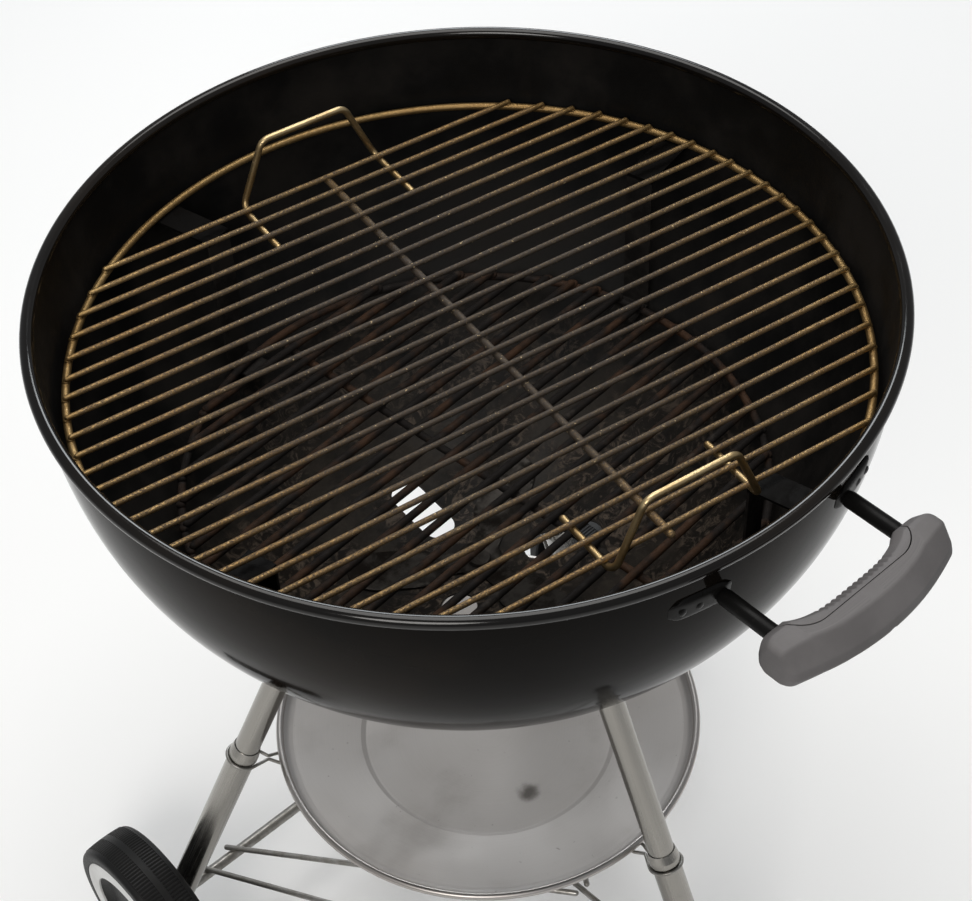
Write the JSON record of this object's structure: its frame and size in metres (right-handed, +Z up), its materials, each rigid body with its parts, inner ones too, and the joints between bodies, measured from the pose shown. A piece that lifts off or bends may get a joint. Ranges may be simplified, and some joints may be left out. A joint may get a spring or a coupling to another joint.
{
  "type": "kettle charcoal grill",
  "caption": "Open kettle charcoal grill: a deep round bowl on tube legs with rear wheels, lift-out grates, a turning bottom damper, a hung ash pan and a side handle.",
  "frame": {"origin": "on the floor, under the middle of the whole part's box; the bowl's axis is at y = 0.037 m", "axes": "+Z up; the handle and the plain leg point along -Y, and the wheel axle lies along X"},
  "size_m": [0.5858, 0.654, 0.735],
  "materials": {
    "enamel": "gloss porcelain enamel",
    "bracket_steel": "sooty enamel",
    "leg_tube": "satin nickel plate",
    "black_plastic": "moulded",
    "plain_steel": "zinc plate",
    "black_bar": "satin black",
    "grip_plastic": "moulded, fine texture",
    "screw_steel": "black zinc",
    "grate_wire": "heat-tinted plate",
    "coal_wire": "burnt, rust-brown",
    "damper_steel": "aluminised, dulled",
    "pan_aluminium": "satin spun",
    "tyre_plastic": "moulded, ribbed tread",
    "white_wall": "smooth"
  },
  "bodies": {
    "kettle": {"bowl": "enamel", "grate_brackets": "bracket_steel", "leg_sockets": "bracket_steel", "front_leg_upper": "leg_tube", "left_leg_upper": "leg_tube", "right_leg_upper": "leg_tube", "front_leg_lower": "leg_tube", "left_leg_lower": "leg_tube", "right_leg_lower": "leg_tube", "leg_plugs": "black_plastic", "foot_cap": "black_plastic", "axle": "plain_steel", "push_nuts": "plain_steel", "rack_rail_left": "plain_steel", "rack_rail_right": "plain_steel", "rack_brace_left": "plain_steel", "rack_brace_right": "plain_steel", "rack_spine": "plain_steel", "pan_clips": "plain_steel", "handle_bracket": "black_bar", "grip_inner": "grip_plastic", "grip_outer": "grip_plastic", "grip_screw": "screw_steel"},
    "cooking_grate": {"cooking_grate": "grate_wire", "grate_loop_rear": "grate_wire", "grate_loop_front": "grate_wire"},
    "charcoal_grate": {"charcoal_grate": "coal_wire"},
    "damper": {"damper_blades": "damper_steel", "damper_stem": "damper_steel", "damper_lever": "damper_steel", "lever_knob": "black_plastic"},
    "ash_pan": {"ash_pan": "pan_aluminium"},
    "wheel_left": {"wheel_left": "tyre_plastic", "wall_ring_left": "white_wall", "hub_cap_left": "black_plastic"},
    "wheel_right": {"wheel_right": "tyre_plastic", "wall_ring_right": "white_wall", "hub_cap_right": "black_plastic"}
  },
  "joints": [
    {"name": "cooking_grate_lift", "type": "slide", "parent": "kettle", "child": "cooking_grate", "axis": [0, 0, 1], "range_m": [0, 0.15]},
    {"name": "charcoal_grate_lift", "type": "slide", "parent": "kettle", "child": "charcoal_grate", "axis": [0, 0, 1], "range_m": [0, 0.1]},
    {"name": "damper_turn", "type": "hinge", "parent": "kettle", "child": "damper", "pos_m": [0, 0.037, 0.4485], "axis": [0, 0, 1], "range_deg": [0, 60]},
    {"name": "ash_pan_lift", "type": "slide", "parent": "kettle", "child": "ash_pan", "axis": [0, 0, 1], "range_m": [0, 0.03]},
    {"name": "wheel_left_spin", "type": "hinge", "parent": "kettle", "child": "wheel_left", "pos_m": [0, 0.17877, 0.08], "axis": [1, 0, 0], "continuous": true},
    {"name": "wheel_right_spin", "type": "hinge", "parent": "kettle", "child": "wheel_right", "pos_m": [0, 0.17877, 0.08], "axis": [1, 0, 0], "continuous": true}
  ]
}
